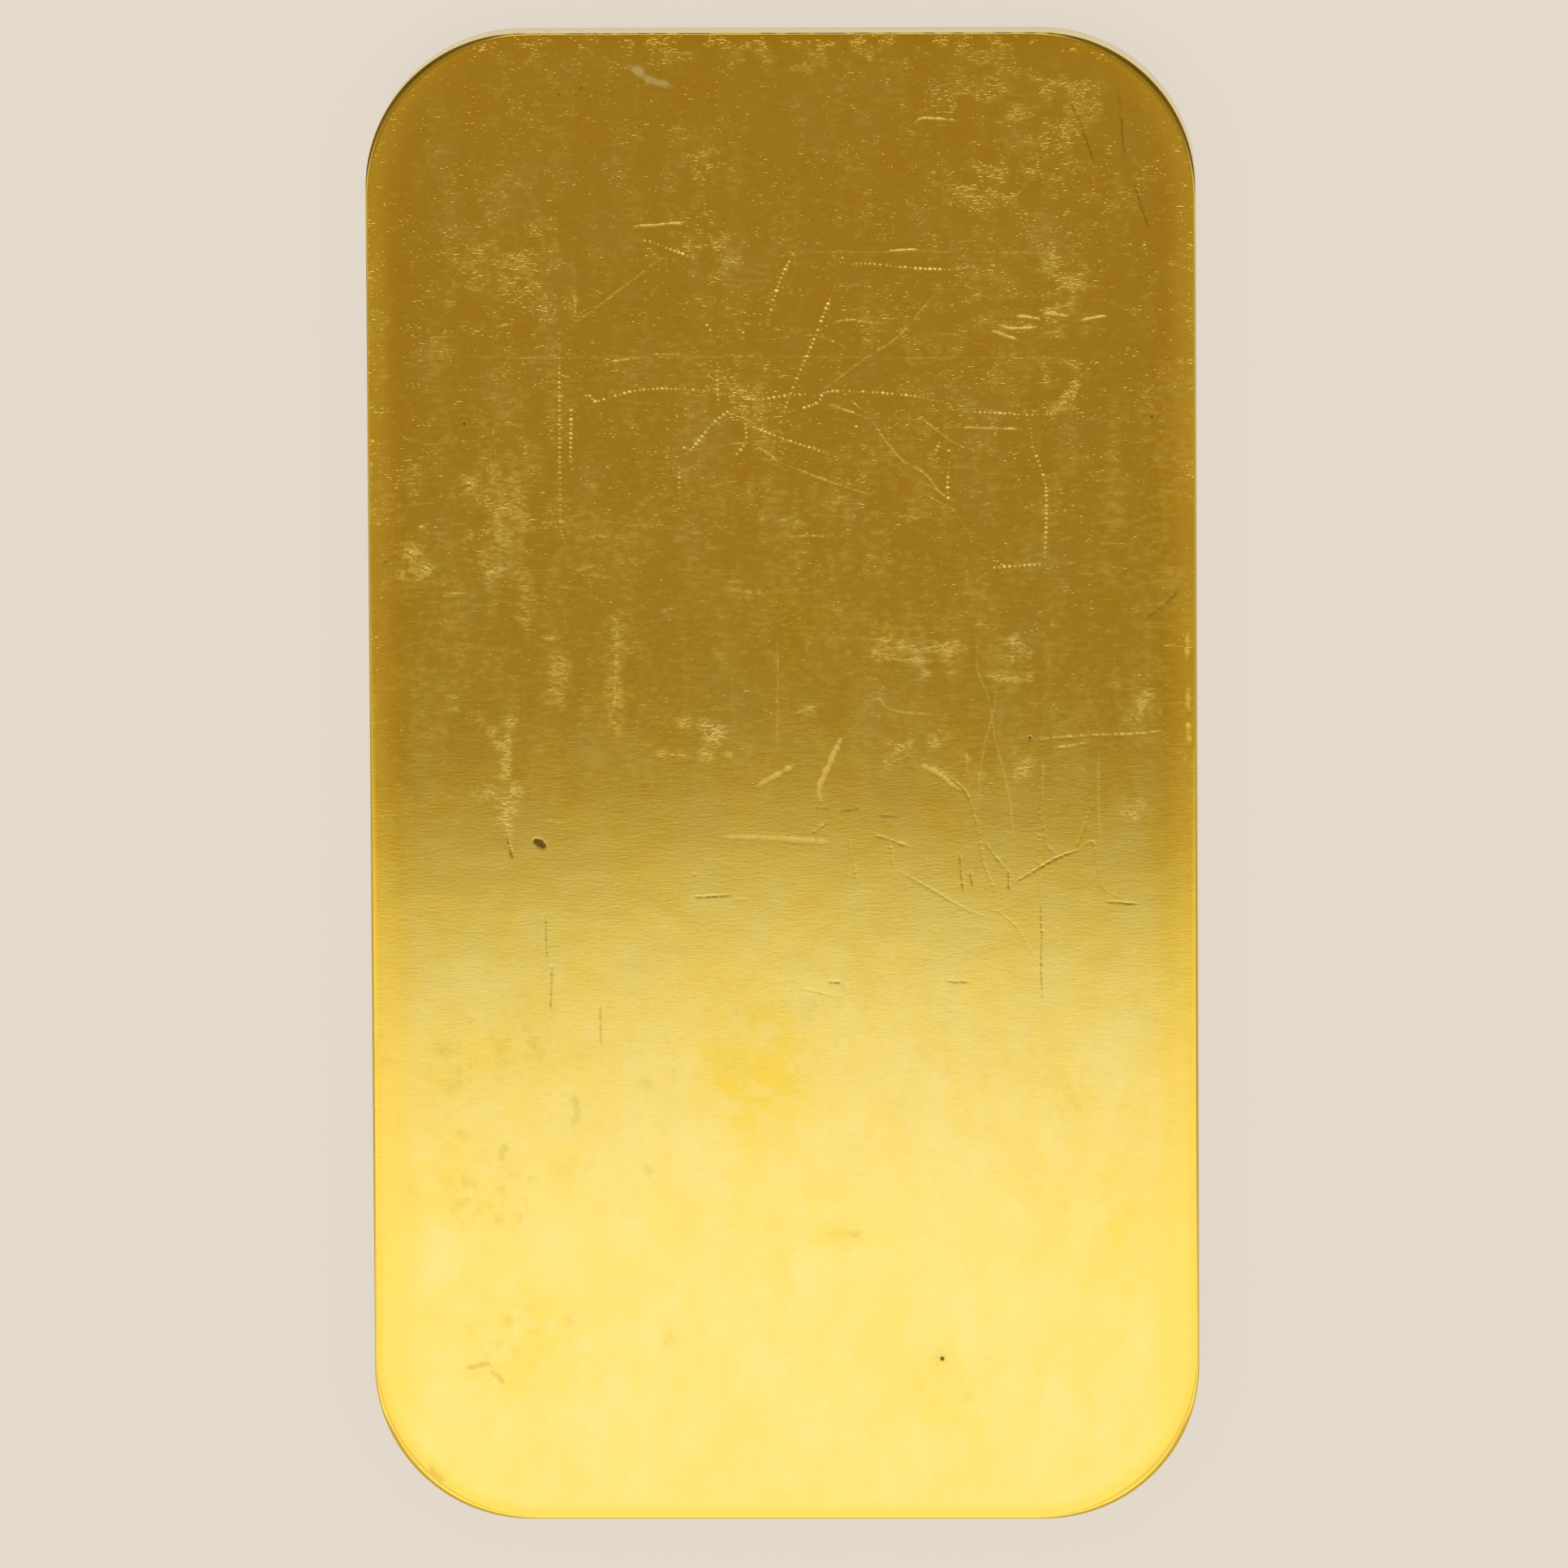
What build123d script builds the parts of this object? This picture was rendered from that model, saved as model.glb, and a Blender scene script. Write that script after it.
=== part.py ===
from build123d import *
import math
import os

# A flat bar of fine gold, one troy ounce, blanked out of rolled strip and lying with its plain face up.
# Lengths are in millimetres. +Z is up, +Y runs along the bar, and the origin is the middle of its underside.

# Outline of the blank
bar_width = 24.0
bar_length = 43.5
bar_thickness = 1.57
corner_radius = 4.5

# Lower edge, broken evenly by tumbling
lower_edge_radius = 0.06

# Upper edge, drawn down by the blanking: narrow along the sides and wider round the corners
upper_edge_setback = 0.05
upper_edge_drop = 0.13
upper_corner_radius_gain = 0.42

# Upper face, which falls away a little from its flat middle to the edge
roll_off_width = 1.0
roll_off_drop = 0.02

# Head of the straight wall, where the upper edge begins
wall_head = bar_thickness - roll_off_drop - upper_edge_drop

# How far along each curved stretch the outlines are drawn
way_shares = (0, 1 / 3, 2 / 3, 1)


def outline_at(height, inset, radius_gain):
    """The bar's outline at one height, drawn in by the inset, with its corners rounder by the gain."""
    width = bar_width - 2 * inset
    length = bar_length - 2 * inset
    return Pos(0, 0, height) * RectangleRounded(width, length, corner_radius - inset + radius_gain)


def wall():
    """The plain blank up to the head of its wall, with the lower edge broken."""
    blank = extrude(outline_at(0, 0, 0), wall_head)
    underside = blank.faces().sort_by(Axis.Z)[0]
    return fillet(underside.edges(), lower_edge_radius)


def drawn_down_edge():
    """The quarter turn from the head of the wall to the rim of the upper face."""
    outlines = []
    for way_share in way_shares:
        turn = way_share * math.pi / 2
        up_share = math.sin(turn)
        in_share = 1 - math.cos(turn)
        height = wall_head + upper_edge_drop * up_share
        inset = upper_edge_setback * in_share
        outlines.append(outline_at(height, inset, upper_corner_radius_gain * in_share))
    return loft(outlines)


def rolled_off_face():
    """The shallow arc from the rim of the upper face to its flat middle."""
    outlines = []
    for way_share in way_shares:
        height = bar_thickness - roll_off_drop * (1 - way_share) ** 2
        inset = upper_edge_setback + roll_off_width * way_share
        outlines.append(outline_at(height, inset, upper_corner_radius_gain))
    return loft(outlines)


gold_bar = wall() + drawn_down_edge() + rolled_off_face()
os.makedirs("parts", exist_ok=True)
export_step(gold_bar, "parts/gold_bar.step")
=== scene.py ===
import math
import random
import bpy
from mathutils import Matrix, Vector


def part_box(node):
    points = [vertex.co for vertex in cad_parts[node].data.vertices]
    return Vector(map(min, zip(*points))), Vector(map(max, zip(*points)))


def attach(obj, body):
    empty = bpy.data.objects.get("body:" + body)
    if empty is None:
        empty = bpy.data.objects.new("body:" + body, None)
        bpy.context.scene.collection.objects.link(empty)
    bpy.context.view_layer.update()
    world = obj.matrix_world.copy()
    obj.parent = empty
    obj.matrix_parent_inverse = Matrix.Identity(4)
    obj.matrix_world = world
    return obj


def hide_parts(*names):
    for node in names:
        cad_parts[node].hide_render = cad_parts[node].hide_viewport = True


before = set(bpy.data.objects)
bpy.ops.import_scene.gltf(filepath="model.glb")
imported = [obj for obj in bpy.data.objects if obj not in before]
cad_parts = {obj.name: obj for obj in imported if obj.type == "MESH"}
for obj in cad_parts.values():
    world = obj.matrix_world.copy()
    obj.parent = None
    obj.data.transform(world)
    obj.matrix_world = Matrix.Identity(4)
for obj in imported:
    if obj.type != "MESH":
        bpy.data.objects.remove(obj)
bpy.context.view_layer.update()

from types import SimpleNamespace

import bmesh
import bpy
from mathutils import Matrix, Vector
from mathutils.kdtree import KDTree

# Lengths are in metres, as the frame is; MM turns millimetres into them.
MM = 0.001
chance = random.Random(31)

# The bar, as the frame gives it
bar_low, bar_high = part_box("gold_bar")
BAR_WIDTH = bar_high.x - bar_low.x
BAR_LENGTH = bar_high.y - bar_low.y
FACE_HEIGHT = bar_high.z
CORNER_RADIUS = 4.5 * MM

# Edges of the bar, with the sizes that the solid has
LOWER_EDGE = 0.06 * MM
UPPER_EDGE_SETBACK = 0.05 * MM
UPPER_EDGE_DROP = 0.13 * MM
UPPER_CORNER_GAIN = 0.42 * MM
ROLL_OFF_WIDTH = 1.0 * MM
ROLL_OFF_DROP = 0.02 * MM
WALL_HEAD = FACE_HEIGHT - ROLL_OFF_DROP - UPPER_EDGE_DROP

# How finely the bar is divided, and what counts as flat, level and sharp
CORNER_SEGMENTS = 40
EDGE_BANDS = 6
ROLL_OFF_BANDS = 6
FACE_CELL = 0.5 * MM
SHARP_SPLITS = 4
SOFT_SPLITS = 3
FLAT_ENOUGH = 0.999
SLACK = 0.0001 * MM
SHARP_ANGLE = math.radians(40)

# The camera, which looks down from a little past the head of the bar
IMAGE_SIDE = 1932
FOCAL_PIXELS = 29747.4
SENSOR_WIDTH = 36.0
CAMERA_DISTANCE = 700 * MM
CAMERA_TILT = math.radians(7.837)
CAMERA_YAW = math.radians(-1.946)
CAMERA_ROLL = math.radians(0.3335)
AIM_RIGHT = -0.0202 * MM
AIM_UP = 0.1334 * MM

# Scratches on the upper face, each a path of photo pixels
BEADED_LINES = (
    ((878, 484), (905, 489), (935, 494), (967, 489), (1005, 486)),
    ((689, 412), (689, 495), (690, 565), (691, 644), (694, 664), (699, 674)),
    ((781, 296), (801, 299), (821, 307), (841, 314), (859, 321)),
    ((705, 490), (727, 489), (733, 496), (758, 489), (788, 482), (821, 480), (854, 481), (878, 484)),
    ((1039, 333), (1020, 376), (1003, 419), (980, 472), (967, 508), (960, 532)),
    ((1040, 328), (1061, 326), (1093, 328), (1146, 333), (1192, 333)),
    ((1268, 512), (1273, 551), (1287, 591), (1290, 624), (1288, 687)),
    ((967, 510), (1006, 498), (1016, 485), (1046, 483), (1093, 486), (1132, 490), (1164, 499)),
    ((911, 500), (881, 520), (851, 555), (841, 560)),
    ((1189, 508), (1265, 512), (1311, 510)),
    ((924, 525), (960, 540), (1020, 560)),
    ((917, 518), (919, 545), (904, 566)),
    ((1219, 701), (1287, 696)),
    ((977, 314), (960, 349), (944, 400)),
    ((883, 452), (885, 505)),
    ((836, 565), (837, 614)),
    ((1170, 565), (1168, 595), (1169, 621)),
    ((704, 495), (702, 575)),
    ((1159, 541), (1152, 561)),
)
FINE_LINES = (
    ((821, 314), (795, 334), (699, 406)),
    ((704, 356), (709, 372), (709, 392)),
    ((607, 404), (636, 399)),
    ((748, 447), (788, 442)),
    ((801, 437), (841, 437)),
    ((891, 462), (907, 495)),
    ((898, 547), (924, 546)),
    ((934, 551), (960, 570)),
    ((1152, 362), (1106, 415), (1063, 445), (1010, 485)),
    ((1023, 400), (1046, 395), (1086, 400)),
    ((986, 414), (1010, 415), (1046, 429)),
    ((1020, 498), (1066, 515)),
    ((1046, 492), (1068, 510)),
    ((967, 573), (1010, 590), (1076, 611)),
    ((1073, 518), (1106, 561), (1146, 591), (1192, 654)),
    ((1126, 508), (1159, 535), (1185, 551), (1215, 559)),
    ((1146, 598), (1167, 614)),
    ((1142, 611), (1169, 625)),
    ((1175, 527), (1265, 531)),
    ((1053, 594), (1068, 585)),
    ((970, 661), (1020, 662)),
)
BRIGHT_LINES = (
    ((778, 281), (790, 279), (821, 277), (845, 275)),
    ((1093, 310), (1132, 308)),
    ((1252, 390), (1283, 395)),
    ((1230, 401), (1248, 406), (1278, 403)),
    ((1285, 386), (1315, 391)),
    ((1331, 396), (1365, 390)),
    ((1222, 408), (1255, 420)),
    ((1124, 155), (1140, 147), (1182, 150)),
)
BROAD_LINES = (
    ((934, 968), (960, 954), (978, 944)),
    ((1036, 912), (1023, 942), (1010, 972), (1011, 985)),
    ((893, 1032), (960, 1033), (1023, 1037)),
    ((1137, 944), (1152, 951), (1170, 962), (1184, 972)),
)
NICKED_LINES = (
    ((1275, 911), (1310, 909), (1345, 906), (1390, 905), (1435, 901)),
    ((1300, 922), (1318, 920), (1340, 916)),
)
RELIEF_LINES = (
    ((1136, 944), (1149, 944), (1175, 962), (1189, 975), (1199, 998), (1207, 1032), (1211, 1058),
     (1219, 1080), (1228, 1105), (1230, 1123)),
    ((1230, 1123), (1250, 1140), (1265, 1162), (1280, 1187)),
    ((1212, 1035), (1224, 1052), (1238, 1070)),
    ((1328, 1048), (1346, 1038), (1351, 1058), (1358, 1091), (1374, 1103)),
    ((1282, 972), (1281, 1032), (1282, 1114)),
    ((1000, 1027), (1020, 1012)),
    ((1076, 1028), (1122, 1043)),
    ((904, 1108), (921, 1108)),
    ((1103, 1071), (1146, 1095), (1192, 1121), (1235, 1134)),
    ((1096, 1038), (1101, 1071)),
    ((1046, 1032), (1056, 1091)),
    ((1283, 998), (1288, 1035), (1301, 1053)),
    ((1325, 1045), (1345, 992)),
    ((981, 1216), (1030, 1228)),
    ((1010, 1312), (1020, 1307)),
    ((636, 1392), (616, 1428)),
)
STAINED_LINES = (
    ((574, 1686), (588, 1683), (600, 1680), (607, 1684)),
    ((606, 1690), (616, 1698), (624, 1705)),
    ((528, 1806), (538, 1818), (548, 1824)),
    ((1160, 1672), (1162, 1677)),
)
DEEP_LINES = (
    ((856, 1105), (901, 1103)),
    ((1166, 1209), (1197, 1210)),
    ((1021, 1210), (1035, 1210)),
    ((1361, 1111), (1401, 1113)),
    ((1195, 1073), (1197, 1090)),
    ((1248, 1088), (1275, 1073), (1301, 1058), (1328, 1048)),
    ((1182, 1052), (1186, 1098)),
    ((1242, 1072), (1243, 1096)),
    ((1282, 1114), (1283, 1170), (1283, 1220), (1285, 1230)),
    ((622, 1018), (631, 1058)),
    ((672, 1128), (673, 1181)),
    ((680, 1191), (679, 1246)),
    ((740, 1238), (740, 1288)),
)
DARK_HAIRS = (
    ((1317, 122), (1335, 162), (1349, 204)),
    ((1378, 113), (1381, 144), (1386, 196)),
    ((1397, 226), (1415, 282)),
    ((1411, 763), (1435, 745), (1451, 728)),
    ((1004, 996), (1022, 997)),
    ((1034, 999), (1060, 997)),
    ((1082, 1005), (1108, 1007)),
)
HAIR_LINES = (
    ((476, 439), (700, 440), (960, 440), (1200, 441), (1360, 442)),
    ((945, 310), (1060, 311), (1200, 311), (1360, 313)),
)
FAINT_LINES = (
    ((1034, 396), (1065, 393), (1095, 401)),
    ((760, 763), (758, 852), (755, 879)),
    ((1063, 866), (1083, 862), (1099, 876), (1159, 882)),
    ((958, 790), (958, 850), (957, 920)),
    ((660, 1010), (700, 1016)),
    ((1125, 1180), (1180, 1186)),
    ((1204, 783), (1205, 826), (1217, 859), (1225, 906), (1235, 945), (1245, 992), (1252, 1068)),
    ((1230, 843), (1222, 886), (1215, 912), (1207, 952), (1207, 985)),
    ((1354, 925), (1353, 985), (1356, 1045)),
    ((1285, 935), (1285, 985)),
    ((1190, 925), (1192, 955)),
)

# Nicks in the rim and scuffs, as paths too
EDGE_DENTS = (
    ((1463, 784), (1464, 800), (1464, 816)),
    ((1464, 856), (1465, 878)),
    ((1464, 892), (1465, 918)),
)
GREY_SCUFFS = (
    ((777, 80), (796, 96), (827, 107)),
)

# Rubbed streaks and smears, as paths too
RUBBED_STREAKS = (
    ((1108, 796), (1150, 801), (1190, 803)),
    ((1086, 808), (1120, 812), (1150, 811)),
    ((1140, 795), (1188, 795)),
    ((1216, 832), (1245, 837), (1275, 838)),
    ((1244, 796), (1262, 801), (1272, 812)),
    ((626, 905), (624, 935), (625, 962)),
    ((624, 985), (626, 1040)),
)
FADED_STREAKS = (
    ((764, 755), (762, 790), (759, 830), (757, 870), (757, 910)),
    ((646, 705), (649, 745), (655, 790)),
    ((684, 800), (691, 842), (688, 870)),
    ((511, 570), (513, 610)),
    ((608, 580), (610, 645)),
    ((634, 580), (636, 645)),
    ((624, 650), (622, 700)),
)
THIN_RUBS = (
    ((546, 860), (566, 860)), ((550, 875), (566, 876)), ((510, 723), (550, 720)),
    ((545, 733), (576, 730)), ((710, 663), (751, 662)), ((710, 704), (735, 698)),
    ((893, 728), (940, 730)), ((792, 650), (832, 645)), ((656, 784), (686, 788)),
    ((812, 756), (829, 748)), ((581, 980), (611, 975)), ((628, 975), (645, 975)),
    ((668, 645), (700, 643)), ((860, 598), (890, 597)), ((1010, 610), (1060, 613)),
    ((930, 640), (990, 641)), ((1100, 640), (1150, 638)), ((820, 930), (850, 931)),
    ((980, 880), (1010, 868)),
)
SMEARS = (
    ((624, 1411), (615, 1429)),
    ((706, 1347), (708, 1372), (699, 1385)),
    ((1019, 1521), (1060, 1523)),
)

# What a dimple may leave on the face besides its shape, and which of these fade softly to their edge
MARKS = ("spots", "scuffs", "dirt", "raw", "rubs", "smudges")
SOFT_MARKS = ("rubs", "smudges")

# Kinds of scratch: paths, half width, depth, step from dimple to dimple, unevenness, mark and its strength
SHARP_SCRATCHES = (
    (BEADED_LINES, 0.046 * MM, 0.0021 * MM, 0.14 * MM, 0.4, "raw", 1.0),
    (FINE_LINES, 0.040 * MM, 0.0009 * MM, 0.05 * MM, 0.5, "raw", 0.7),
    (BRIGHT_LINES, 0.055 * MM, 0.0014 * MM, 0.035 * MM, 0.35, "raw", 1.0),
    (BROAD_LINES, 0.085 * MM, 0.0011 * MM, 0.05 * MM, 0.5, "raw", 1.0),
    (NICKED_LINES, 0.042 * MM, 0.0015 * MM, 0.09 * MM, 0.6, "raw", 0.75),
    (FAINT_LINES, 0.030 * MM, 0.0003 * MM, 0.035 * MM, 0.5, "raw", 0.45),
    (HAIR_LINES, 0.036 * MM, 0.0, 0.06 * MM, 0.6, "raw", 0.6),
    (STAINED_LINES, 0.09 * MM, 0.0, 0.04 * MM, 0.4, "dirt", 0.6),
    (RELIEF_LINES, 0.040 * MM, 0.0011 * MM, 0.035 * MM, 0.5, None, 0.0),
    (DEEP_LINES, 0.035 * MM, 0.0028 * MM, 0.03 * MM, 0.5, "dirt", 1.0),
    (DARK_HAIRS, 0.040 * MM, 0.0002 * MM, 0.03 * MM, 0.4, "dirt", 1.0),
    (EDGE_DENTS, 0.08 * MM, 0.0026 * MM, 0.04 * MM, 0.5, "raw", 0.8),
)
SOFT_SCRATCHES = (
    (GREY_SCUFFS, 0.15 * MM, 0.0002 * MM, 0.05 * MM, 0.3, "scuffs", 1.0),
    (RUBBED_STREAKS, 0.16 * MM, 0.0, 0.06 * MM, 0.5, "rubs", 0.8),
    (FADED_STREAKS, 0.32 * MM, 0.0, 0.08 * MM, 0.5, "rubs", 0.55),
    (THIN_RUBS, 0.075 * MM, 0.0, 0.04 * MM, 0.5, "rubs", 0.8),
    (SMEARS, 0.16 * MM, 0.0, 0.04 * MM, 0.4, "smudges", 1.0),
)

# How a scratch varies along its path: its pressure, which eases off to both ends, its sway and its bite
PRESSURE_PULL = 0.15
END_PRESSURE = 0.35
END_RISE = 4
SWAY_KEPT = 0.95
SWAY_STEP = 0.15
LEAST_BITE = 0.12
BITE_FOR_EACH_MM = 0.065
BITE_START = -3 * MM

# Spots: a photo pixel, and for all but the pits a half width in pixels
PITS = (
    (828, 276), (836, 276), (871, 402), (875, 408), (916, 411), (843, 553), (519, 650), (506, 682),
    (526, 701), (606, 707), (578, 596), (639, 621), (977, 314), (1038, 319), (1055, 527), (1169, 557),
    (1410, 303), (1224, 328), (621, 992), (626, 1018), (680, 1191), (856, 1078), (1230, 1123),
    (1374, 1103), (1268, 911),
)
DARK_PITS = (
    ((661, 1037), 5.5), ((665, 1039), 7), ((669, 1042), 5.5), ((1161, 1674), 3.0), ((1419, 513), 3),
    ((572, 522), 3.2), ((716, 108), 2.6), ((689, 116), 2.2), ((475, 692), 3), ((1269, 909), 3),
)
RUBBED_SPOTS = (
    ((512, 576), 7), ((519, 650), 6), ((507, 682), 13), ((526, 702), 10), ((520, 710), 7),
    ((497, 709), 8), ((578, 596), 10), ((572, 588), 7), ((578, 660), 7), ((606, 707), 9), ((598, 700), 6),
    ((600, 720), 6), ((757, 764), 6), ((778, 778), 6), ((775, 800), 6), ((762, 820), 6), ((630, 890), 7),
    ((606, 902), 6), ((592, 888), 5), ((614, 918), 7), ((635, 975), 9), ((606, 977), 7), ((620, 990), 7),
    ((622, 1010), 8), ((880, 905), 13), ((868, 895), 8), ((843, 890), 8), ((870, 932), 8),
    ((898, 931), 5), ((815, 930), 6), ((680, 850), 6), ((690, 865), 6), ((1090, 773), 5),
    ((1092, 793), 9), ((1100, 788), 7), ((1082, 806), 8), ((1095, 808), 7), ((1110, 797), 7),
    ((1140, 830), 6), ((1172, 832), 5), ((1206, 771), 6), ((1250, 792), 9), ((1258, 800), 7),
    ((1246, 812), 7), ((1268, 836), 6), ((1378, 847), 4), ((1397, 878), 9), ((1408, 866), 8),
    ((1415, 855), 7), ((1402, 885), 6), ((1390, 876), 5), ((1428, 878), 5), ((1382, 870), 5),
    ((1100, 938), 9), ((1110, 925), 8), ((1094, 915), 5), ((1260, 950), 9), ((1266, 940), 7),
    ((1252, 957), 5), ((1210, 957), 5), ((1192, 935), 5), ((1396, 1004), 8), ((1405, 992), 6),
    ((1388, 1000), 7), ((1248, 925), 5), ((1150, 915), 8), ((1160, 905), 6), ((1102, 900), 5),
)
SMUDGES = (
    ((543, 1295), 8), ((561, 1294), 8), ((565, 1320), 8), ((563, 1334), 9), ((556, 1344), 9),
    ((545, 1334), 6), ((617, 1293), 10), ((618, 1311), 8), ((658, 1284), 9), ((648, 1269), 7),
    ((667, 1297), 7), ((475, 1309), 9), ((570, 1398), 9), ((576, 1456), 8), ((588, 1462), 8),
    ((599, 1489), 10), ((633, 1450), 7), ((656, 1456), 8), ((638, 1500), 9), ((615, 1502), 8),
    ((798, 1442), 9), ((827, 1650), 11), ((626, 1627), 10), ((703, 1626), 9), ((796, 1336), 10),
    ((1161, 1674), 13), ((596, 1677), 9), ((538, 1818), 12),
)

# The bar's width in photo pixels, and how the spots are pressed and spread
BAR_PIXELS = 1020
PIXEL = BAR_WIDTH / BAR_PIXELS
PIT_HALF_WIDTHS = (0.04 * MM, 0.065 * MM)
PIT_DEPTH = 0.0024 * MM
DARK_PIT_DEPTH = 0.001 * MM
RUB_SPREAD = 1.6
FULL_RUB = 10
SMUDGE_SPREAD = 1.3
SMUDGE_STRENGTH = 0.7

# Wide marks: middle in photo pixels, half width and half height in them, and strength
SPECK_CLUSTERS = (
    (1191, 121, 70, 60, 0.6), (1212, 228, 75, 40, 1.0), (1262, 217, 52, 48, 0.8),
    (1306, 350, 40, 85, 1.0), (1223, 371, 70, 55, 0.5), (1310, 473, 32, 64, 1.1),
    (627, 329, 120, 150, 0.4), (877, 313, 52, 52, 0.8), (872, 196, 30, 28, 0.7), (621, 616, 70, 140, 0.4),
    (1290, 130, 130, 90, 0.7), (1260, 215, 150, 90, 0.5), (1390, 200, 60, 80, 0.4),
    (914, 489, 70, 65, 0.5), (960, 62, 520, 34, 1.2), (600, 1300, 110, 80, 0.3),
    (590, 1470, 80, 60, 0.25), (640, 1650, 130, 80, 0.3), (1310, 1350, 48, 52, 0.3),
)
OLIVE_FIELDS = (
    (610, 1300, 130, 100, 1.0), (590, 1470, 110, 80, 0.9), (640, 1660, 150, 80, 0.7),
    (960, 1600, 80, 150, 0.5), (1310, 1350, 60, 70, 0.8), (1330, 1480, 80, 70, 0.6),
    (1180, 1700, 110, 80, 0.5), (1420, 1230, 70, 70, 0.5), (1010, 1230, 220, 70, 0.5),
    (720, 1400, 80, 100, 0.5),
)
FLAKE_FIELDS = (
    (1117, 803, 90, 44, 1.0), (1255, 808, 75, 65, 1.0), (1404, 861, 58, 58, 1.0),
    (1258, 954, 46, 36, 0.9), (1101, 939, 36, 36, 0.9), (1390, 990, 46, 50, 0.7),
    (765, 840, 46, 100, 0.7), (621, 930, 40, 90, 0.9), (511, 690, 50, 70, 0.8), (518, 600, 40, 60, 0.7),
    (1240, 401, 80, 30, 0.7), (1310, 473, 34, 64, 0.7), (648, 740, 60, 110, 0.6),
    (620, 620, 80, 100, 0.8), (870, 910, 90, 60, 0.7), (680, 850, 50, 60, 0.7), (1390, 680, 90, 130, 1.0),
)
STAINS = (
    (934, 1325, 90, 118, 1.6), (890, 1220, 70, 70, 0.6), (1385, 1520, 65, 120, 0.7),
    (1046, 1523, 85, 26, 0.6), (560, 1460, 120, 80, 0.7), (600, 1300, 120, 80, 0.6),
    (640, 1650, 160, 90, 0.7), (1180, 1720, 100, 60, 0.5), (540, 1818, 50, 32, 0.6),
)

# Colours of the gold and of what is on it
GOLD = (0.905, 0.735, 0.215, 1)
PALE_GOLD = (0.905, 0.765, 0.270, 1)
# Warm gold for random warm patches, and as painted shade along the rim
WARM_GOLD = (0.935, 0.700, 0.128, 1)
# Painted sheen: a paler tone for the wall, standing in for the pale reflection that gold gives at a grazing
# angle
PAINTED_WALL_SHEEN = (0.95, 0.86, 0.60, 1)
OLIVE_GOLD = (0.76, 0.64, 0.15, 1)
OLIVE_MARK = (0.62, 0.51, 0.08, 1)
DIRT = (0.30, 0.22, 0.06, 1)
RICH_GOLD = (0.89, 0.69, 0.10, 1)
DARK_SPOT = (0.17, 0.11, 0.02, 1)
GREY_SCUFF = (0.74, 0.66, 0.38, 1)
# Grime and painted shade for the drawn down edge: the dark that the edge reflects, painted as colour
EDGE_GRIME_AND_SHADE = (0.165, 0.10, 0.010, 1)

# Heights on the bar in millimetres, as the gold reads them
FACE_MM = FACE_HEIGHT / MM
RIM_MM = (FACE_HEIGHT - ROLL_OFF_DROP) / MM
WALL_HEAD_MM = WALL_HEAD / MM

# Sizes of the gold's patterns in millimetres: across the bar, along it and up
CLUMP_SIZE = (0.6, 0.5, 1)
SPECK_SIZE = (0.125, 0.05, 1)
STREAK_SIZE = (0.8, 2.6, 1)
BLOTCH_SIZE = (0.26, 0.14, 1)
FLAKE_SIZE = (0.15, 0.08, 1)
HAIR_SIZE = (0.6, 0.045, 1)
MOTTLE_SIZE = (0.11, 0.08, 1)
WAVE_SIZE = (1.8, 1.2, 1)
GRAIN_SIZE = (0.22, 0.06, 1)
SHADE_SIZE = (0.8, 1.5, 1)
STAIN_SIZE = (0.7, 0.6, 1)
WARMTH_SIZE = (1.6, 2.2, 1)
OLIVE_SIZE = (0.35, 0.5, 1)
SMUDGE_SIZE = (0.2, 0.3, 1)
BEAD_SIZE = (0.4, 0.4, 0.4)

# Depths of the gold's relief in millimetres
WAVE_DEPTH = 0.0006
GRAIN_DEPTH = 0.00012
HAIR_DEPTH = 0.0001
SPECK_DEPTH = 0.001
RUB_DEPTH = 0.0003

# Roughness of the bare gold, and what each kind of wear adds to it
BARE_ROUGHNESS = 0.040
HAZE_ROUGHNESS = 0.06
RUB_ROUGHNESS = 0.105
BLOTCH_ROUGHNESS = 0.05
STREAK_ROUGHNESS = 0.014
HAIR_ROUGHNESS = 0.03
SCRATCH_ROUGHNESS = 0.085
GRIME_ROUGHNESS = 0.3
WALL_ROUGHNESS = 0.16
SCUFF_ROUGHNESS = 0.11
SPOT_ROUGHNESS = 0.25

# The floor, and how much of it is its own pale tone
FLOOR_HALF_SIDE = 1.5
FLOOR_DROP = 0.005 * MM
FLOOR_COLOUR = (0.80, 0.76, 0.70, 1)
FLOOR_TONE = (0.79, 0.728, 0.655, 1)
FLOOR_OWN_SHARE = 0.78

# Tones of the room
CEILING_TONE = (0.368, 0.227, 0.051, 1)
CEILING_SIDE_TONE = (0.448, 0.312, 0.100, 1)
CEILING_FOOT_TONE = (0.350, 0.230, 0.057, 1)
WALL_TONE = (0.46, 0.345, 0.20, 1)
FOOT_WALL_TONE = (0.92, 0.78, 0.52, 1)
LOW_WALL_TONE = (0.80, 0.77, 0.71, 1)

# The foot light, which the camera sees mirrored in the upper face; its near edge bows and fades in
FOOT_LIGHT_X = -0.034
FOOT_LIGHT_TINT = (0.96, 1.0, 1.06, 1)
FOOT_LIGHT_EDGE_TINT = (0.94, 1.0, 0.50, 1)
FOOT_LIGHT_NEAR = -0.085
FOOT_LIGHT_HEIGHT = 1.0
FOOT_LIGHT_WIDTH = 1.2
FOOT_LIGHT_REACH = 1.05
FOOT_LIGHT_RADIANCE = 1.1
BOW_DEPTH = 0.0028
BOW_HALF_WIDTH = 0.012

# The lights at the sides and the head
SIDE_LIGHT_AWAY = 1.0
SIDE_LIGHT_UP = 0.7
SIDE_LIGHT_WIDTH = 1.2
SIDE_LIGHT_HEIGHT = 0.8
SIDE_LIGHT_RADIANCE = 1.0


# Camera

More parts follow.
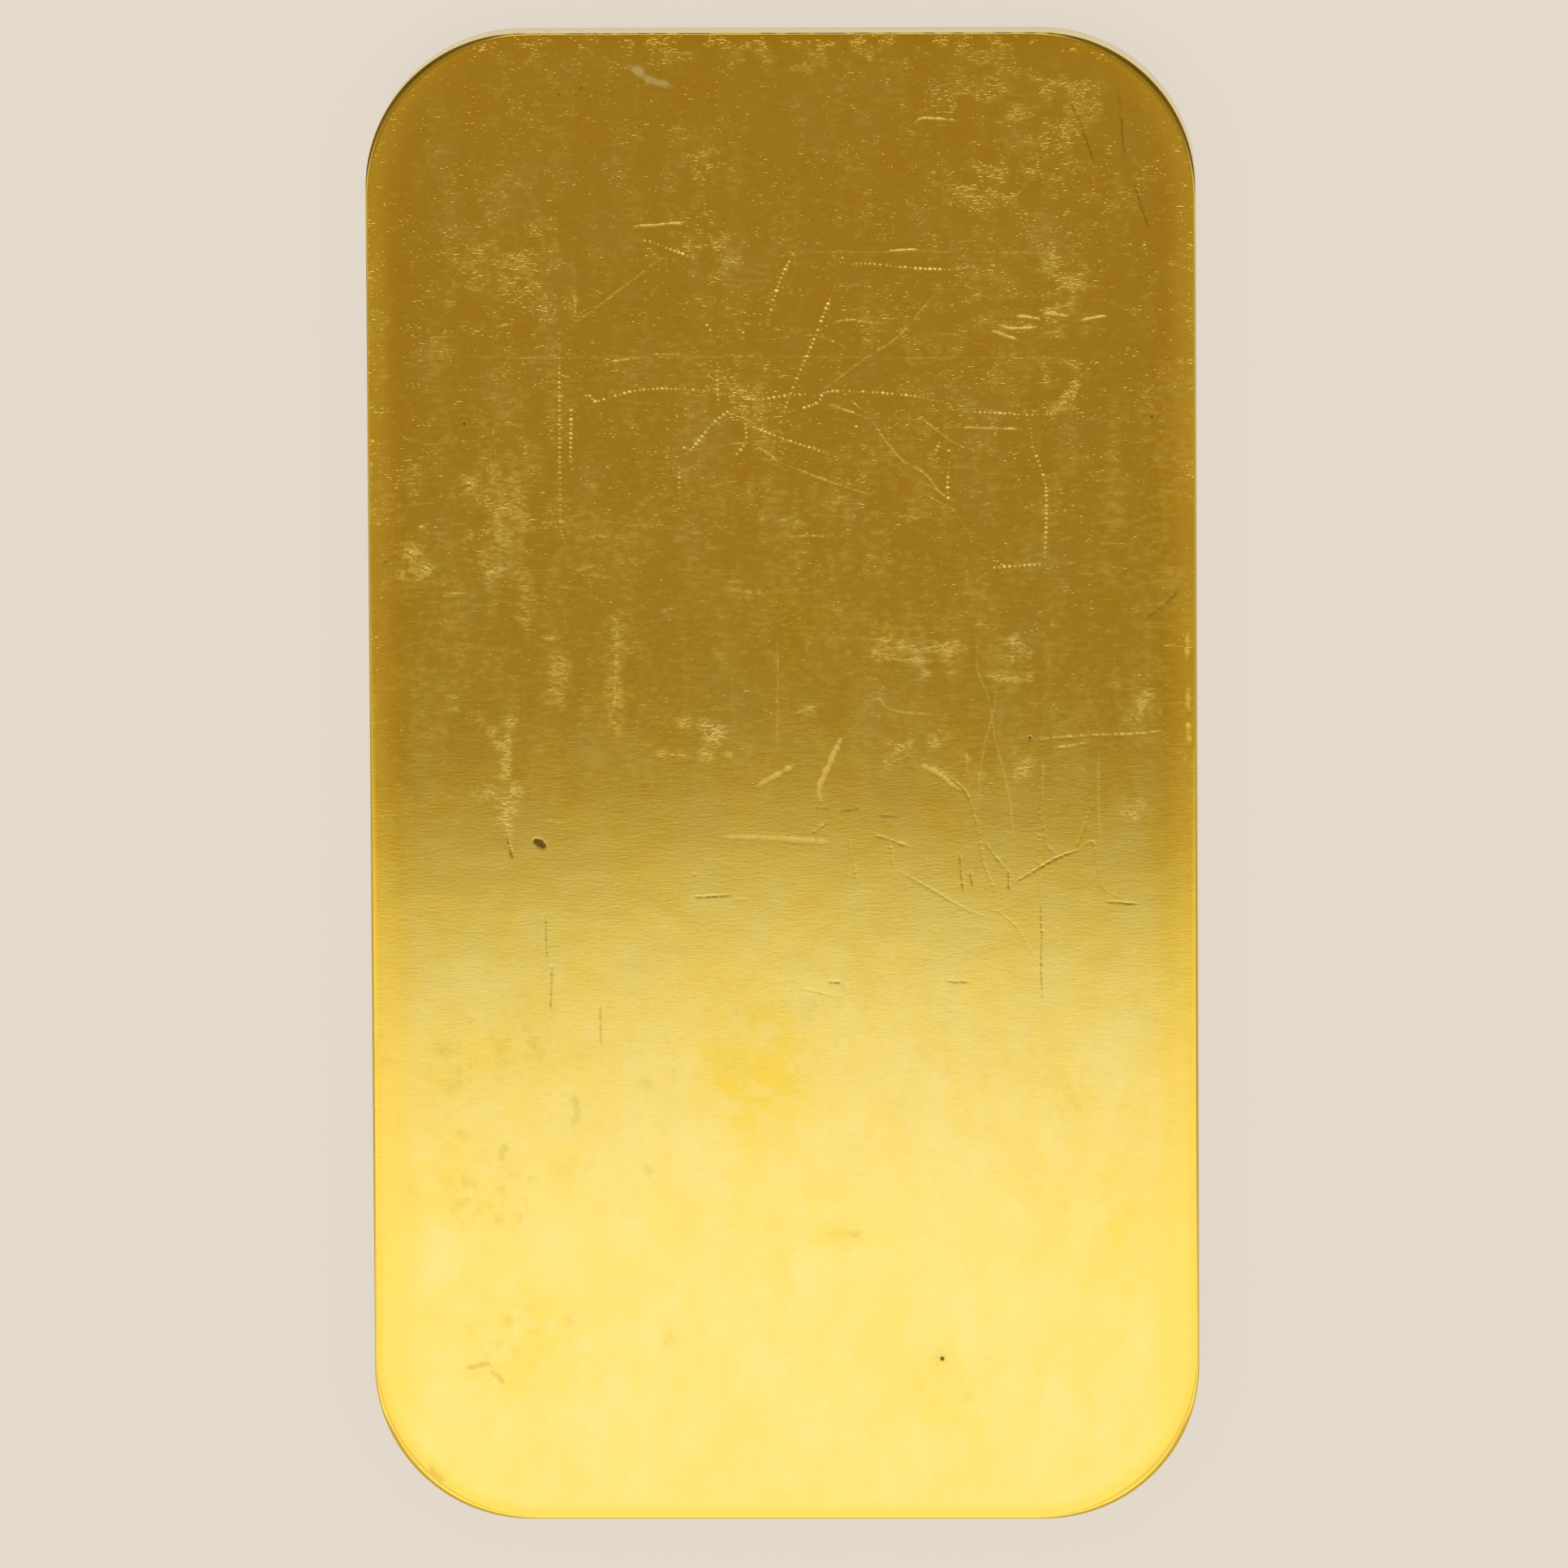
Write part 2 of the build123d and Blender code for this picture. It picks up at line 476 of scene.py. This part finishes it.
def camera_turn():
    """Turns the bar's axes into the camera's: yaw, then tilt, then roll."""
    yaw = Matrix.Rotation(CAMERA_YAW, 3, "Y")
    tilt = Matrix.Rotation(CAMERA_TILT, 3, "X")
    roll = Matrix.Rotation(CAMERA_ROLL, 3, "Z")
    return roll @ tilt @ yaw


def camera_place():
    """Where the camera stands: back along its own axis from the middle of the upper face."""
    back = camera_turn().transposed() @ Vector((-AIM_RIGHT, -AIM_UP, CAMERA_DISTANCE))
    return back + Vector((0, 0, FACE_HEIGHT))


def stand_camera():
    camera = bpy.data.objects.new("camera", bpy.data.cameras.new("camera"))
    camera.data.sensor_width = SENSOR_WIDTH
    camera.data.lens = FOCAL_PIXELS / IMAGE_SIDE * SENSOR_WIDTH
    camera.data.clip_start = 10 * MM
    camera.data.clip_end = 10
    camera.matrix_world = Matrix.Translation(camera_place()) @ camera_turn().transposed().to_4x4()
    bpy.context.scene.collection.objects.link(camera)
    bpy.context.scene.camera = camera


def on_face(pixel):
    """The place on the upper face that a photo pixel shows."""
    across = (pixel[0] - IMAGE_SIDE / 2) / FOCAL_PIXELS
    up = (IMAGE_SIDE / 2 - pixel[1]) / FOCAL_PIXELS
    way = camera_turn().transposed() @ Vector((across, up, -1))
    start = camera_place()
    return start + way * ((FACE_HEIGHT - start.z) / way.z)


# Wear on the face

def smooth_path(points, step):
    """Points a step apart on a smooth curve through the given ones."""
    ends = [points[0] * 2 - points[1], *points, points[-1] * 2 - points[-2]]
    places = []
    for before, start, end, after in zip(ends, ends[1:], ends[2:], ends[3:]):
        count = max(1, round((end - start).length / step))
        for index in range(count):
            t = index / count
            places.append(0.5 * (
                2 * start + (end - before) * t
                + (2 * before - 5 * start + 4 * end - after) * t ** 2
                + (3 * start - before - 3 * end + after) * t ** 3
            ))
    places.append(points[-1])
    return places


def bite(place):
    """How deep a scratch goes: deeper toward the head of the bar, where it is more worn."""
    return LEAST_BITE + BITE_FOR_EACH_MM * max(0, (place.y - BITE_START) / MM)


def scratch_dimples(paths, half_width, depth, step, unevenness, mark, strength):
    """The dimples of some scratches: place, half width, depth, the mark that each leaves and its strength."""
    dimples = []
    for path in paths:
        places = smooth_path([on_face(pixel) for pixel in path], step)
        pressure = 1.0
        sway = Vector((0, 0, 0))
        for index, place in enumerate(places):
            pressure += PRESSURE_PULL * (chance.uniform(0.0, 2.0) - pressure)
            from_end = min(index, len(places) - 1 - index) / len(places)
            ease = min(1, END_PRESSURE + END_RISE * from_end)
            vary = pressure * ease * (1 + unevenness * chance.uniform(-1, 1))
            nudge = Vector((chance.gauss(0, 1), chance.gauss(0, 1), 0))
            sway = sway * SWAY_KEPT + nudge * half_width * unevenness * SWAY_STEP
            half = half_width * (1 + vary) / 2
            dimples.append((place + sway, half, depth * vary * bite(place), mark, strength * min(1, vary)))
    return dimples


def sharp_dimples():
    """The dimples that need the smallest cells: those of the scratches and the pits."""
    dimples = []
    for scratches in SHARP_SCRATCHES:
        dimples += scratch_dimples(*scratches)
    for pixel in PITS:
        place = on_face(pixel)
        dimples.append((place, chance.uniform(*PIT_HALF_WIDTHS), PIT_DEPTH * bite(place), None, 0.0))
    for pixel, half_width in DARK_PITS:
        dimples.append((on_face(pixel), half_width * PIXEL, DARK_PIT_DEPTH, "spots", 1.0))
    return dimples


def soft_dimples():
    """Dimples with next to no depth, which only leave their mark."""
    dimples = []
    for scratches in SOFT_SCRATCHES:
        dimples += scratch_dimples(*scratches)
    for pixel, half_width in RUBBED_SPOTS:
        strength = min(1, half_width / FULL_RUB)
        dimples.append((on_face(pixel), half_width * RUB_SPREAD * PIXEL, 0.0, "rubs", strength))
    for pixel, half_width in SMUDGES:
        dimples.append((on_face(pixel), half_width * SMUDGE_SPREAD * PIXEL, 0.0, "smudges", SMUDGE_STRENGTH))
    return dimples


def dimple_finder(dimples):
    finder = KDTree(len(dimples))
    for index, dimple in enumerate(dimples):
        finder.insert(dimple[0], index)
    finder.balance()
    return finder


# Bar

def outline_face(bm, height, inset, radius_gain=0.0):
    """The bar's outline at one height, drawn in by the inset, with its corners rounder by the gain."""
    made = bmesh.ops.create_grid(bm, x_segments=1, y_segments=1, size=0.5)
    size = (BAR_WIDTH - 2 * inset, BAR_LENGTH - 2 * inset, 1)
    bmesh.ops.scale(bm, vec=size, verts=made["verts"])
    bmesh.ops.translate(bm, vec=(0, 0, height), verts=made["verts"])
    rounded = bmesh.ops.bevel(
        bm, geom=made["verts"], affect="VERTICES", offset=CORNER_RADIUS - inset + radius_gain,
        segments=CORNER_SEGMENTS, profile=0.5, material=-1,
    )
    return rounded["verts"][0].link_faces[0]


def bar_outlines(bm):
    """The outlines from the underside over the wall and the drawn down edge to the flat of the upper face."""
    faces = []
    for band in range(EDGE_BANDS + 1):
        turn = math.pi / 2 * band / EDGE_BANDS
        height = LOWER_EDGE * (1 - math.cos(turn))
        faces.append(outline_face(bm, height, LOWER_EDGE * (1 - math.sin(turn))))
    for band in range(EDGE_BANDS + 1):
        turn = math.pi / 2 * band / EDGE_BANDS
        way_in = 1 - math.cos(turn)
        height = WALL_HEAD + UPPER_EDGE_DROP * math.sin(turn)
        faces.append(outline_face(bm, height, UPPER_EDGE_SETBACK * way_in, UPPER_CORNER_GAIN * way_in))
    for band in range(ROLL_OFF_BANDS):
        way_in = (band + 1) / ROLL_OFF_BANDS
        height = FACE_HEIGHT - ROLL_OFF_DROP * (1 - way_in) ** 2
        inset = UPPER_EDGE_SETBACK + ROLL_OFF_WIDTH * way_in
        faces.append(outline_face(bm, height, inset, UPPER_CORNER_GAIN))
    return faces


def on_flat(cell):
    """Whether a cell lies on the flat of the upper face."""
    return min(vert.co.z for vert in cell.verts) > FACE_HEIGHT - SLACK


def rule_bar(bm, face):
    """Cuts the flat of the upper face into even cells, and the bar's straight sides in line with them."""
    cells = [face]
    straight = CORNER_RADIUS + UPPER_CORNER_GAIN
    for across, size in ((0, BAR_WIDTH), (1, BAR_LENGTH)):
        lines = round(size / FACE_CELL)
        for line in range(1, lines):
            place = Vector((0, 0, FACE_HEIGHT))
            place[across] = size * (line / lines - 0.5)
            way = Vector((0, 0, 0))
            way[across] = 1
            crossed = bm.faces if abs(place[across]) < size / 2 - straight else cells
            geom = set(crossed)
            for cell in crossed:
                geom.update(cell.edges)
                geom.update(cell.verts)
            bmesh.ops.bisect_plane(bm, geom=list(geom), dist=SLACK, plane_co=place, plane_no=way)
            cells = [cell for cell in bm.faces if on_flat(cell)]


def split_near(bm, dimples, splits):
    """Splits the cells of the upper face that lie near a dimple, down to a size that shows it."""
    finder = dimple_finder(dimples)
    cell = FACE_CELL
    for _ in range(splits):
        edges = set()
        for face in bm.faces:
            if face.normal.z < FLAT_ENOUGH or len(face.edges) != 4:
                continue
            centre = face.calc_center_median()
            if centre.z < FACE_HEIGHT - ROLL_OFF_DROP or face.calc_area() < 0.5 * cell ** 2:
                continue
            _, index, distance = finder.find(centre)
            if distance < dimples[index][1] + 0.75 * cell:
                edges.update(face.edges)
        bmesh.ops.subdivide_edges(bm, edges=list(edges), cuts=1, use_grid_fill=True)
        bm.normal_update()
        cell /= 2


def press_dimples(bm, dimples):
    """Presses the dimples into the upper face and notes the marks that some of them leave."""
    finder = dimple_finder(dimples)
    layers = {mark: bm.verts.layers.float.new(mark) for mark in MARKS}
    reach = max(dimple[1] for dimple in dimples)
    for vert in bm.verts:
        if vert.co.z < FACE_HEIGHT - ROLL_OFF_DROP:
            continue
        sink = 0
        for _, index, distance in finder.find_range(vert.co, reach):
            half_width, depth, mark, strength = dimples[index][1:]
            if distance < half_width:
                share = (1 - (distance / half_width) ** 2) ** 1.5
                sink = max(sink, depth * share)
                if mark:
                    seen = share if mark in SOFT_MARKS else min(1, share * 2)
                    vert[layers[mark]] = max(vert[layers[mark]], seen * strength)
        vert.co.z -= sink


def spread(bm, name, marks):
    """Notes on the upper face the strongest of some wide marks, each fading from its middle to its edge."""
    layer = bm.verts.layers.float.new(name)
    places = [(on_face(mark[:2]), mark[2] * PIXEL, mark[3] * PIXEL, mark[4]) for mark in marks]
    for vert in bm.verts:
        if vert.co.z < FACE_HEIGHT - 2 * ROLL_OFF_DROP:
            continue
        for place, half_width, half_height, strength in places:
            away = math.hypot((vert.co.x - place.x) / half_width, (vert.co.y - place.y) / half_height)
            if away < 1:
                vert[layer] = max(vert[layer], strength * (1 - away ** 2) ** 1.5)


def bar_body():
    bm = bmesh.new()
    faces = bar_outlines(bm)
    for below, above in zip(faces, faces[1:]):
        bmesh.ops.bridge_loops(bm, edges=list(below.edges) + list(above.edges))
    bmesh.ops.delete(bm, geom=faces[1:-1], context="FACES_ONLY")
    bmesh.ops.recalc_face_normals(bm, faces=bm.faces)
    rule_bar(bm, faces[-1])
    bm.normal_update()
    sharp = sharp_dimples()
    soft = soft_dimples()
    split_near(bm, sharp, SHARP_SPLITS)
    split_near(bm, soft, SOFT_SPLITS)
    press_dimples(bm, sharp + soft)
    spread(bm, "specks", SPECK_CLUSTERS)
    spread(bm, "flakes", FLAKE_FIELDS)
    spread(bm, "olive", OLIVE_FIELDS)
    spread(bm, "stains", STAINS)
    return bm


def finish_piece(bm, name, material):
    mesh = bpy.data.meshes.new(name)
    bm.to_mesh(mesh)
    bm.free()
    mesh.shade_smooth()
    mesh.set_sharp_from_angle(angle=SHARP_ANGLE)
    mesh.materials.append(material)
    piece = bpy.data.objects.new(name, mesh)
    bpy.context.scene.collection.objects.link(piece)
    return piece


# Shader nodes

def add_node(tree, kind, inputs, output=0, **settings):
    """A new shader node with its settings and inputs, each input a value or the output of another node."""
    node = tree.nodes.new("ShaderNode" + kind)
    for name, value in settings.items():
        setattr(node, name, value)
    for name, value in inputs.items():
        if isinstance(value, bpy.types.NodeSocket):
            tree.links.new(value, node.inputs[name])
        else:
            node.inputs[name].default_value = value
    return node.outputs[output]


def calc(tree, operation, *values):
    return add_node(tree, "Math", dict(enumerate(values)), operation=operation)


def total(tree, first, *others):
    for other in others:
        first = calc(tree, "ADD", first, other)
    return first


def product(tree, first, *others):
    for other in others:
        first = calc(tree, "MULTIPLY", first, other)
    return first


def slope(tree, value, low, high, bottom=0.0, top=1.0):
    """A smooth climb from bottom to top while the value goes from low to high."""
    inputs = {"Value": value, "From Min": low, "From Max": high, "To Min": bottom, "To Max": top}
    return add_node(tree, "MapRange", inputs, interpolation_type="SMOOTHSTEP")


def cloud(tree, place, size, detail=1.0, turn=0.0, shift=0.0):
    """Noise with lumps of about the given size in millimetres, turned by some degrees."""
    turned = (0, 0, math.radians(turn))
    inputs = {"Vector": place, "Location": (shift, shift, 0), "Rotation": turned, "Scale": size}
    lumps = add_node(tree, "Mapping", inputs, vector_type="TEXTURE")
    return add_node(tree, "TexNoise", {"Vector": lumps, "Scale": 1.0, "Detail": detail})


def mix(tree, share, first, second):
    """The first colour, with a share of the second."""
    return add_node(tree, "Mix", {0: share, 6: first, 7: second}, output=2, data_type="RGBA")


def noted(tree, name):
    """A mark that the mesh carries."""
    return add_node(tree, "Attribute", {}, output="Fac", attribute_name=name)


def coordinates(tree, vector):
    """The X, Y and Z of a vector."""
    split = tree.nodes.new("ShaderNodeSeparateXYZ")
    tree.links.new(vector, split.inputs[0])
    return tuple(split.outputs)


# Gold

def zones(tree, height):
    """The drawn down edge, the part of it below the rim that takes grime and painted shade, and the wall."""
    edge_foot = slope(tree, height, WALL_HEAD_MM + 0.03, WALL_HEAD_MM + 0.06)
    edge = product(tree, edge_foot, slope(tree, height, RIM_MM + 0.0015, RIM_MM - 0.0005))
    groove = product(tree, edge_foot, slope(tree, height, RIM_MM - 0.003, RIM_MM - 0.02))
    wall_head = slope(tree, height, WALL_HEAD_MM, WALL_HEAD_MM - 0.03)
    wall = product(tree, wall_head, slope(tree, height, 0.01, 0.05))
    return edge, groove, wall


def face_wear(tree, place, along):
    """How strong each kind of wear is from place to place."""
    wear = SimpleNamespace()

    # Wear grows toward the head of the bar, and a mottle and hairlines are all over it
    wear.worn = slope(tree, along, -5.0, 18.0, 0.17, 1.0)
    wear.dull = slope(tree, along, -3.0, 11.0, 0.25, 1.0)
    wear.mottle = slope(tree, cloud(tree, place, MOTTLE_SIZE, 2.0, shift=41.0), 0.3, 0.7)
    wear.hairs = slope(tree, cloud(tree, place, HAIR_SIZE, 1.0, 1.0, 5.0), 0.58, 0.78)

    # Specks are thick in some places and thin elsewhere
    wear.clusters = noted(tree, "specks")
    wear.clumps = slope(tree, cloud(tree, place, CLUMP_SIZE, 2.0), 0.34, 0.66)
    everywhere = slope(tree, along, 2.0, 11.0, 0.3, 0.6)
    thickness = product(tree, wear.clumps, total(tree, wear.clusters, everywhere))
    speck_level = calc(tree, "SUBTRACT", 0.72, product(tree, thickness, 0.2))
    speck_noise = cloud(tree, place, SPECK_SIZE, shift=3.1)
    wear.specks = slope(tree, calc(tree, "SUBTRACT", speck_noise, speck_level), 0.0, 0.3)

    # Rubbed blotches run in streaks along the bar
    wear.streaks = slope(tree, cloud(tree, place, STREAK_SIZE, 2.0, shift=61.0), 0.4, 0.62)
    in_streaks = product(tree, wear.streaks, 0.08)
    in_clumps = product(tree, wear.clumps, 0.06)
    in_flakes = product(tree, noted(tree, "flakes"), 0.06)
    blotch_level = calc(tree, "SUBTRACT", 0.57, total(tree, in_streaks, in_clumps, in_flakes))
    blotch_noise = cloud(tree, place, BLOTCH_SIZE, 2.0, shift=17.0)
    wear.blotches = slope(tree, calc(tree, "SUBTRACT", blotch_noise, blotch_level), -0.1, 0.28)

    # Rubbed places are made of short flakes across the bar
    flake_noise = cloud(tree, place, FLAKE_SIZE, 3.0, shift=91.0)
    wear.rubs = product(tree, noted(tree, "rubs"), slope(tree, flake_noise, 0.42, 0.62, 0.1, 1.0))
    return wear


def edge_grime_and_shade(tree, place, aside, along, edge, groove):
    """Grime and painted shade on the drawn down edge: round the head's corners, in beads between them, and in
    a thin band all round.
    """
    beads = slope(tree, cloud(tree, place, BEAD_SIZE, 2.0, shift=31.0), 0.36, 0.6, 0.15, 0.95)
    beads = product(tree, beads, slope(tree, along, 17.0, 20.0))
    corners = product(tree, slope(tree, aside, 7.0, 8.5), slope(tree, along, 16.0, 18.0))
    grime_and_shade = product(tree, groove, calc(tree, "MAXIMUM", corners, beads))
    less_at_head = slope(tree, along, 14.0, 19.0, 0.55, 0.3)
    less_at_foot = slope(tree, along, -17.0, -10.0, 0.4, 1.0)
    # The painted shade stands in for the dark that the drawn down edge reflects; the band all round is
    # fainter at the head and the foot
    return calc(tree, "MAXIMUM", grime_and_shade, product(tree, edge, less_at_head, less_at_foot))


def gold_relief(tree, place, height, wear):
    """Broad waves and the grain of the rolling, less what hairlines, specks and rubbing take off."""
    rim_wear = slope(tree, height, FACE_MM - 0.003, RIM_MM, 1.0, 4.0)
    waves = product(tree, cloud(tree, place, WAVE_SIZE), WAVE_DEPTH)
    grain = product(tree, cloud(tree, place, GRAIN_SIZE), GRAIN_DEPTH)
    hairs = product(tree, wear.hairs, HAIR_DEPTH)
    specks = product(tree, wear.specks, rim_wear, SPECK_DEPTH)
    cuts = product(tree, total(tree, hairs, specks), wear.worn)
    taken = total(tree, cuts, product(tree, wear.rubs, RUB_DEPTH))
    relief = calc(tree, "SUBTRACT", total(tree, waves, grain), taken)
    return add_node(tree, "Bump", {"Strength": 1.0, "Distance": MM, "Height": relief})


def gold_colour(tree, place, aside, height, wear, grime_and_shade, wall):
    """Gold, warmer at the rim by painted shade, richer in stains, olive where worn, and dark in dirt, spots,
    grime and painted edge shade.
    """
    shade = slope(tree, cloud(tree, place, SHADE_SIZE, 3.0, shift=11.0), 0.3, 0.7)
    colour = mix(tree, shade, GOLD, PALE_GOLD)
    stain_edge = slope(tree, cloud(tree, place, STAIN_SIZE, 3.0, shift=21.0), 0.25, 0.7)
    colour = mix(tree, product(tree, noted(tree, "stains"), stain_edge), colour, RICH_GOLD)
    warmth_and_rim_shade = slope(tree, cloud(tree, place, WARMTH_SIZE, 3.0, shift=81.0), 0.4, 0.65, 0.0, 0.35)
    # Near the long sides and on the rim's roll-off the warmth is painted shade: the deeper tone that the rim
    # shows as the light falls off there
    warmth_and_rim_shade = calc(tree, "MAXIMUM", warmth_and_rim_shade, slope(tree, aside, 10.2, 11.3, 0.0, 0.75))
    warmth_and_rim_shade = calc(tree, "MAXIMUM", warmth_and_rim_shade, slope(tree, height, FACE_MM - 0.001, RIM_MM + 0.004))
    colour = mix(tree, warmth_and_rim_shade, colour, WARM_GOLD)
    colour = mix(tree, product(tree, wear.blotches, wear.dull, 0.3), colour, OLIVE_GOLD)
    colour = mix(tree, product(tree, wear.mottle, wear.worn, 0.5), colour, OLIVE_GOLD)
    olive = slope(tree, cloud(tree, place, OLIVE_SIZE, 3.0, 8.0, 51.0), 0.5, 0.8, 0.0, 0.4)
    colour = mix(tree, product(tree, noted(tree, "olive"), olive), colour, OLIVE_MARK)
    smudge = slope(tree, cloud(tree, place, SMUDGE_SIZE, 3.0, 20.0, 71.0), 0.3, 0.6, 0.1, 0.5)
    colour = mix(tree, product(tree, noted(tree, "smudges"), smudge), colour, OLIVE_MARK)
    colour = mix(tree, product(tree, noted(tree, "dirt"), 0.42), colour, DIRT)
    colour = mix(tree, noted(tree, "spots"), colour, DARK_SPOT)
    colour = mix(tree, product(tree, noted(tree, "scuffs"), 0.75), colour, GREY_SCUFF)
    # Grime and painted shade darken the drawn down edge
    colour = mix(tree, grime_and_shade, colour, EDGE_GRIME_AND_SHADE)
    # Half of the painted pale sheen goes onto the wall
    return mix(tree, product(tree, wall, 0.5), colour, PAINTED_WALL_SHEEN)


def gold_roughness(tree, wear, grime_and_shade, wall):
    """Duller where it is specked, streaked, blotched or rubbed, in scratches, in the edge's grime and painted
    shade, and on the wall.
    """
    haze = total(tree, product(tree, wear.clusters, wear.clumps), product(tree, wear.mottle, 0.6))
    dulled = total(
        tree,
        product(tree, wear.blotches, BLOTCH_ROUGHNESS),
        product(tree, wear.streaks, STREAK_ROUGHNESS),
        product(tree, wear.hairs, HAIR_ROUGHNESS),
    )
    return total(
        tree,
        BARE_ROUGHNESS,
        product(tree, haze, wear.worn, HAZE_ROUGHNESS),
        product(tree, wear.rubs, RUB_ROUGHNESS),
        product(tree, dulled, wear.dull),
        product(tree, noted(tree, "raw"), SCRATCH_ROUGHNESS),
        product(tree, grime_and_shade, GRIME_ROUGHNESS),
        product(tree, wall, WALL_ROUGHNESS),
        product(tree, noted(tree, "scuffs"), SCUFF_ROUGHNESS),
        product(tree, noted(tree, "spots"), SPOT_ROUGHNESS),
    )


def gold():
    material = bpy.data.materials.new("gold")
    material.use_nodes = True
    tree = material.node_tree
    shader = tree.nodes["Principled BSDF"]
    on_bar = add_node(tree, "TexCoord", {}, output="Object")
    place = add_node(tree, "VectorMath", {0: on_bar, "Scale": 1 / MM}, operation="SCALE")
    across, along, height = coordinates(tree, place)
    aside = calc(tree, "ABSOLUTE", across)
    edge, groove, wall = zones(tree, height)
    wear = face_wear(tree, place, along)
    grime_and_shade = edge_grime_and_shade(tree, place, aside, along, edge, groove)
    colour = gold_colour(tree, place, aside, height, wear, grime_and_shade, wall)
    shader.inputs["Metallic"].default_value = 1
    tree.links.new(colour, shader.inputs["Base Color"])
    tree.links.new(gold_roughness(tree, wear, grime_and_shade, wall), shader.inputs["Roughness"])
    tree.links.new(gold_relief(tree, place, height, wear), shader.inputs["Normal"])
    return material


# Stage

def floor():
    """A pale floor with a soft shadow: partly lit, and mostly its own tone to the eye and in reflections."""
    bm = bmesh.new()
    bmesh.ops.create_grid(bm, x_segments=1, y_segments=1, size=FLOOR_HALF_SIDE)
    bmesh.ops.translate(bm, vec=(0, 0, -FLOOR_DROP), verts=bm.verts)
    material = bpy.data.materials.new("floor")
    material.use_nodes = True
    tree = material.node_tree
    tree.nodes.remove(tree.nodes["Principled BSDF"])
    lit = add_node(tree, "BsdfDiffuse", {"Color": FLOOR_COLOUR})
    pale = add_node(tree, "Emission", {"Color": FLOOR_TONE, "Strength": 1.0})
    path = tree.nodes.new("ShaderNodeLightPath")
    seen = calc(tree, "MAXIMUM", path.outputs["Is Camera Ray"], path.outputs["Is Glossy Ray"])
    seen = calc(tree, "MAXIMUM", seen, path.outputs["Is Transmission Ray"])
    surface = add_node(tree, "MixShader", {0: product(tree, seen, FLOOR_OWN_SHARE), 1: lit, 2: pale})
    tree.links.new(surface, tree.nodes["Material Output"].inputs["Surface"])
    finish_piece(bm, "floor", material)


def softbox(name, place, aim, width, height, radiance):
    lamp = bpy.data.lights.new(name, "AREA")
    lamp.shape = "RECTANGLE"
    lamp.size = width
    lamp.size_y = height
    lamp.energy = math.pi * width * height * radiance
    light = bpy.data.objects.new(name, lamp)
    way = Vector(aim) - Vector(place)
    light.matrix_world = Matrix.Translation(Vector(place)) @ way.to_track_quat("-Z", "Y").to_matrix().to_4x4()
    bpy.context.scene.collection.objects.link(light)
    return lamp


def room():
    """A warm dim ceiling, paler to the sides, over walls that are pale low down and beyond the bar's foot."""
    world = bpy.data.worlds.new("room")
    world.use_nodes = True
    tree = world.node_tree
    across, along, up = coordinates(tree, add_node(tree, "TexCoord", {}, output="Generated"))
    beyond_foot = product(tree, slope(tree, along, -0.1, -0.5), slope(tree, up, 0.3, 0.5))
    walls = mix(tree, beyond_foot, WALL_TONE, FOOT_WALL_TONE)
    walls = mix(tree, slope(tree, up, 0.12, 0.36), LOW_WALL_TONE, walls)
    # The foot light hangs a metre up, so a direction to it has about its own X
    aside = calc(tree, "ABSOLUTE", calc(tree, "SUBTRACT", across, FOOT_LIGHT_X))
    ceiling = mix(tree, slope(tree, along, -0.112, -0.138), CEILING_TONE, CEILING_FOOT_TONE)
    ceiling = mix(tree, slope(tree, aside, 0.02, 0.09), ceiling, CEILING_SIDE_TONE)
    tone = mix(tree, slope(tree, up, 0.78, 0.93), walls, ceiling)
    tree.links.new(tone, tree.nodes["Background"].inputs["Color"])
    bpy.context.scene.world = world


def feather(lamp):
    """Fades the foot light in from its near edge, in two steps, and dims it a little to the sides."""
    lamp.use_nodes = True
    tree = lamp.node_tree
    across, along, _ = coordinates(tree, add_node(tree, "NewGeometry", {}, output="Position"))
    aside = calc(tree, "POWER", calc(tree, "SUBTRACT", across, FOOT_LIGHT_X), 2.0)
    bow = calc(tree, "DIVIDE", aside, total(tree, aside, BOW_HALF_WIDTH ** 2))
    away = calc(tree, "SUBTRACT", product(tree, along, -1.0), product(tree, bow, BOW_DEPTH))
    first_step = slope(tree, away, 0.1315, 0.156, 0.0, 0.62)
    second_step = slope(tree, away, 0.149, 0.171, 0.0, 0.165)
    dimming = slope(tree, aside, 0.035 ** 2, 0.11 ** 2, 1.0, 0.86)
    fade = product(tree, total(tree, first_step, second_step), dimming)
    tint = mix(tree, slope(tree, fade, 0.05, 0.75), FOOT_LIGHT_EDGE_TINT, FOOT_LIGHT_TINT)
    tree.links.new(tint, tree.nodes["Emission"].inputs["Color"])
    tree.links.new(fade, tree.nodes["Emission"].inputs["Strength"])


def lights():
    middle = FOOT_LIGHT_NEAR - FOOT_LIGHT_REACH / 2
    above = (FOOT_LIGHT_X, middle, FOOT_LIGHT_HEIGHT)
    below = (FOOT_LIGHT_X, middle, 0)
    feather(softbox("foot_light", above, below, FOOT_LIGHT_WIDTH, FOOT_LIGHT_REACH, FOOT_LIGHT_RADIANCE))
    for name, x, y in (("left_light", -1, 0), ("right_light", 1, 0), ("head_light", 0, 1)):
        place = (x * SIDE_LIGHT_AWAY, y * SIDE_LIGHT_AWAY, SIDE_LIGHT_UP)
        softbox(name, place, (0, 0, 0), SIDE_LIGHT_WIDTH, SIDE_LIGHT_HEIGHT, SIDE_LIGHT_RADIANCE)


bpy.context.scene.view_settings.view_transform = "Standard"
stand_camera()
floor()
room()
lights()
bar = finish_piece(bar_body(), "bar", gold())
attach(bar, "root")
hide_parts("gold_bar")
